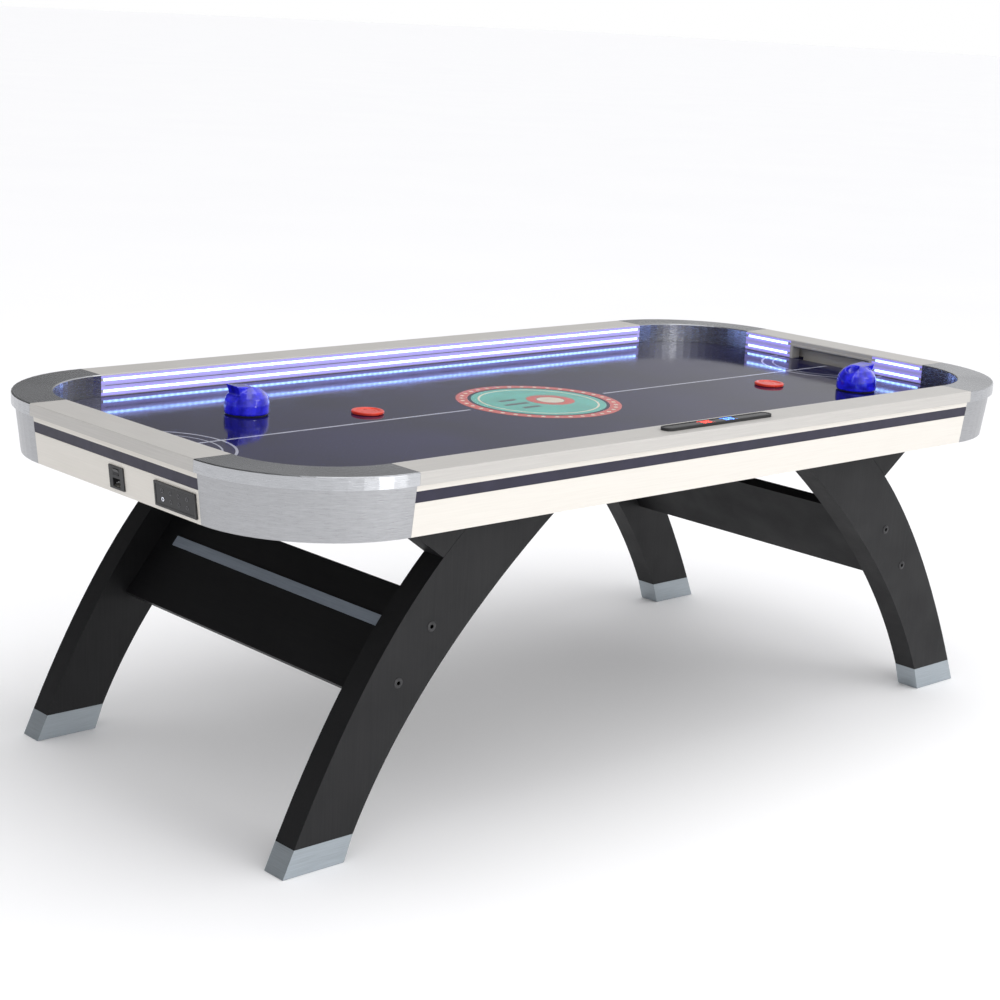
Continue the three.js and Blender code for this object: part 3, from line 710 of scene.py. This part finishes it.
def add_bolts():
    for name, place, side in bolt_places():
        bm = bmesh.new()
        turn = Matrix.Rotation(-side * math.pi / 2, 4, "X")
        outwards = Matrix.Translation(place + Vector((0, side * BOLT_STAND_OFF, 0)))
        add_turned(bm, BOLT_HEAD, outwards @ turn, 28)
        new_piece(name, bm, "black_plastic")


# Score counter, controls and inlet

INK_DEPTH = 0.0002
FIGURE_HEIGHT = 0.013
FIGURE_OFFSETS = (-0.008, 0.008)
SCORE_X = (("red", -0.036, "red_light"), ("blue", 0.036, "blue_light"))
SCORE_STAND_OFF = 0.00005
WINDOW_HALF_LENGTH = 0.020
WINDOW_LINE = (0.0090, 0.0096)
WINDOW_LINE_Z = (-0.0003, 0.0001)
ZERO = ("top", "bottom", "upper_left", "upper_right", "lower_left", "lower_right")


def add_figure(bm, x, y, z, height, lit):
    """One seven-segment figure lying flat, its top towards +Y."""
    half = height / 2
    wide = height * 0.27
    bar = height * 0.075
    places = {
        "top": (0, half, True), "middle": (0, 0, True), "bottom": (0, -half, True),
        "upper_left": (-wide, half / 2, False), "upper_right": (wide, half / 2, False),
        "lower_left": (-wide, -half / 2, False), "lower_right": (wide, -half / 2, False),
    }
    for key in lit:
        dx, dy, level = places[key]
        reach_x, reach_y = (wide * 0.78, bar) if level else (bar, half * 0.40)
        add_box(bm, (x + dx - reach_x, y + dy - reach_y, z),
                (x + dx + reach_x, y + dy + reach_y, z + INK_DEPTH))


def add_score_figures():
    low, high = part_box("score_display")
    y = (low[1] + high[1]) / 2
    z = high[2] + SCORE_STAND_OFF
    for name, x, look in SCORE_X:
        bm = bmesh.new()
        for offset in FIGURE_OFFSETS:
            add_figure(bm, x + offset, y, z, FIGURE_HEIGHT, ZERO)
        new_piece(f"score_figures_{name}", bm, look)
        bm = bmesh.new()
        for side in (-1, 1):
            edges = sorted(y + side * edge for edge in WINDOW_LINE)
            add_box(bm, (x - WINDOW_HALF_LENGTH, edges[0], z + WINDOW_LINE_Z[0]),
                    (x + WINDOW_HALF_LENGTH, edges[1], z + WINDOW_LINE_Z[1]))
        new_piece(f"score_window_{name}", bm, look)


# The left apron leans in towards its lower edge by this much over this height
APRON_LEAN = 0.012
APRON_LEAN_HEIGHT = 0.1037


def face_matrix(node):
    """The frame of a plate on the left apron: local X along the table's -Y, Y up the face, Z out of it."""
    low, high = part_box(node)
    slope = math.atan2(APRON_LEAN, APRON_LEAN_HEIGHT)
    out = Vector((-math.cos(slope), 0, -math.sin(slope)))
    along = Vector((0, -1, 0))
    up = out.cross(along)
    centre = (Vector(low) + Vector(high)) / 2
    turn = Matrix((along, up, out)).transposed().to_4x4()
    return Matrix.Translation(centre) @ turn


TOUCH_PANEL_FRONT = 0.0050
ICON_COLUMNS = (-0.042, -0.014, 0.014, 0.042)
ICON_ROWS = (0.009, -0.008)
ICON_RING = (0.0033, 0.0042)
ICON_BAR_HALF_WIDTH = 0.0004
ICON_BAR = (0.0004, 0.0024)
LIT_ICON = 2


def add_touch_icons():
    base = face_matrix("touch_panel") @ Matrix.Translation((0, 0, TOUCH_PANEL_FRONT))
    places = [(x, y) for x in ICON_COLUMNS for y in ICON_ROWS]
    for number, (x, y) in enumerate(places, 1):
        bm = bmesh.new()
        add_ring(bm, *ICON_RING, 0, INK_DEPTH, x, y, count=24)
        add_box(bm, (x - ICON_BAR_HALF_WIDTH, y + ICON_BAR[0], 0),
                (x + ICON_BAR_HALF_WIDTH, y + ICON_BAR[1], INK_DEPTH))
        bmesh.ops.transform(bm, matrix=base, verts=bm.verts)
        look = "white_light" if number == LIT_ICON else "icon"
        new_piece(f"touch_icon_{number}", bm, look)


PIN_PLACES = ((-0.007, -0.0115), (0.0, -0.0085), (0.007, -0.0115))
PIN_HALF_WIDTH = 0.002
PIN_HALF_HEIGHT = 0.001
PIN_ENDS = (-0.008, 0.006)


def add_inlet_pins():
    base = face_matrix("power_inlet")
    bm = bmesh.new()
    for x, y in PIN_PLACES:
        add_box(bm, (x - PIN_HALF_WIDTH, y - PIN_HALF_HEIGHT, PIN_ENDS[0]),
                (x + PIN_HALF_WIDTH, y + PIN_HALF_HEIGHT, PIN_ENDS[1]), base)
    new_piece("inlet_pins", bm, "steel")


# Stage

FLOOR_HALF = 150
FLOOR_Z = -0.001
FLOOR_SHADE = (0.96, 0.96, 0.97)
FLOOR_COLOR = (0.975, 0.975, 0.98)


def add_stage():
    bm = bmesh.new()
    bmesh.ops.create_grid(bm, x_segments=1, y_segments=1, size=FLOOR_HALF)
    mesh = bpy.data.meshes.new("floor")
    bm.to_mesh(mesh)
    bm.free()
    floor = bpy.data.objects.new("floor", mesh)
    floor.location.z = FLOOR_Z
    bpy.context.scene.collection.objects.link(floor)
    maker = Maker("floor_paint", FLOOR_COLOR, 0.75)
    tint = maker.ramp(maker.noise(maker.place, 0.6), [(0.3, FLOOR_SHADE), (0.7, FLOOR_COLOR)])
    maker.link(tint, maker.shader.inputs["Base Color"])
    maker.set(Specular_IOR_Level=0.1)
    mesh.materials.append(maker.material)


# Name, place, target, size and power of each light
LIGHTS = (
    ("key", (1.6, -4.0, 3.2), (0, 0, 0.6), (3.0, 2.0), 30),
    ("top", (0, -0.4, 4.2), (0, 0, 0.7), (3.5, 2.5), 30),
    ("corner_gleam", (-0.1, -4.4, 0.75), (-0.9, -0.6, 0.72), (0.45, 1.3), 26),
)


def add_light(name, place, target, size, power):
    data = bpy.data.lights.new(name, "AREA")
    data.shape = "RECTANGLE"
    data.size, data.size_y = size
    data.energy = power
    light = bpy.data.objects.new(name, data)
    light.location = place
    light.visible_camera = False
    light.rotation_euler = (Vector(target) - Vector(place)).to_track_quat("-Z", "Y").to_euler()
    bpy.context.scene.collection.objects.link(light)


# Brightness of the studio round the table, from its -X, +Y side to its +X, -Y side
STUDIO_LEVELS = ((0.0, 0.56), (0.5, 1.10), (1.0, 1.38))
REFLECTED_LEVELS = ((0.0, 0.06), (0.30, 0.15), (0.5, 0.40), (0.72, 1.05), (0.86, 0.80), (1.0, 0.40))
STUDIO_TINT = (0.99, 0.99, 1.0)


def direction_across(tree):
    """How far a direction lies from the -X, +Y side of the studio towards its +X, -Y side, 0 to 1."""
    direction = tree.nodes.new("ShaderNodeTexCoord")
    split = tree.nodes.new("ShaderNodeSeparateXYZ")
    across = tree.nodes.new("ShaderNodeMath")
    across.operation = "SUBTRACT"
    share = tree.nodes.new("ShaderNodeMapRange")
    share.inputs["From Min"].default_value = -math.sqrt(2)
    share.inputs["From Max"].default_value = math.sqrt(2)
    tree.links.new(direction.outputs["Generated"], split.inputs["Vector"])
    tree.links.new(split.outputs["X"], across.inputs[0])
    tree.links.new(split.outputs["Y"], across.inputs[1])
    tree.links.new(across.outputs["Value"], share.inputs["Value"])
    return share.outputs["Result"]


def studio_light(tree, across, levels):
    """A background whose brightness follows the levels across the studio."""
    ramp = tree.nodes.new("ShaderNodeValToRGB")
    elements = ramp.color_ramp.elements
    while len(elements) < len(levels):
        elements.new(0.5)
    highest = max(level for _, level in levels)
    for element, (position, level) in zip(elements, levels):
        element.position = position
        element.color = (*(channel * level / highest for channel in STUDIO_TINT), 1)
    tree.links.new(across, ramp.inputs["Fac"])
    background = tree.nodes.new("ShaderNodeBackground")
    background.inputs["Strength"].default_value = highest
    tree.links.new(ramp.outputs["Color"], background.inputs["Color"])
    return background.outputs["Background"]


def chosen_by_ray(tree, is_ray, chosen, other):
    """One background for a kind of ray, and another for the rest."""
    mix = tree.nodes.new("ShaderNodeMixShader")
    tree.links.new(is_ray, mix.inputs["Fac"])
    tree.links.new(other, mix.inputs[1])
    tree.links.new(chosen, mix.inputs[2])
    return mix.outputs["Shader"]


def add_lighting():
    bpy.context.scene.view_settings.view_transform = "Standard"
    world = bpy.data.worlds.new("studio")
    world.use_nodes = True
    tree = world.node_tree
    white = tree.nodes["Background"]
    white.inputs["Color"].default_value = (1, 1, 1, 1)
    white.inputs["Strength"].default_value = 1.0
    across = direction_across(tree)
    lit = studio_light(tree, across, STUDIO_LEVELS)
    reflected = studio_light(tree, across, REFLECTED_LEVELS)
    rays = tree.nodes.new("ShaderNodeLightPath")
    unseen = chosen_by_ray(tree, rays.outputs["Is Glossy Ray"], reflected, lit)
    shown = chosen_by_ray(tree, rays.outputs["Is Camera Ray"], white.outputs["Background"], unseen)
    tree.links.new(shown, tree.nodes["World Output"].inputs["Surface"])
    bpy.context.scene.world = world
    for light in LIGHTS:
        add_light(*light)


add_camera()
finish_cad_nodes()
soften_grips()
add_field_lines()
add_air_holes()
add_emblem()
add_end_lights()
add_painted_glow_sheets()
add_wall_lines()
add_goal_frames()
add_bolts()
add_score_figures()
add_touch_icons()
add_inlet_pins()
add_stage()
add_lighting()
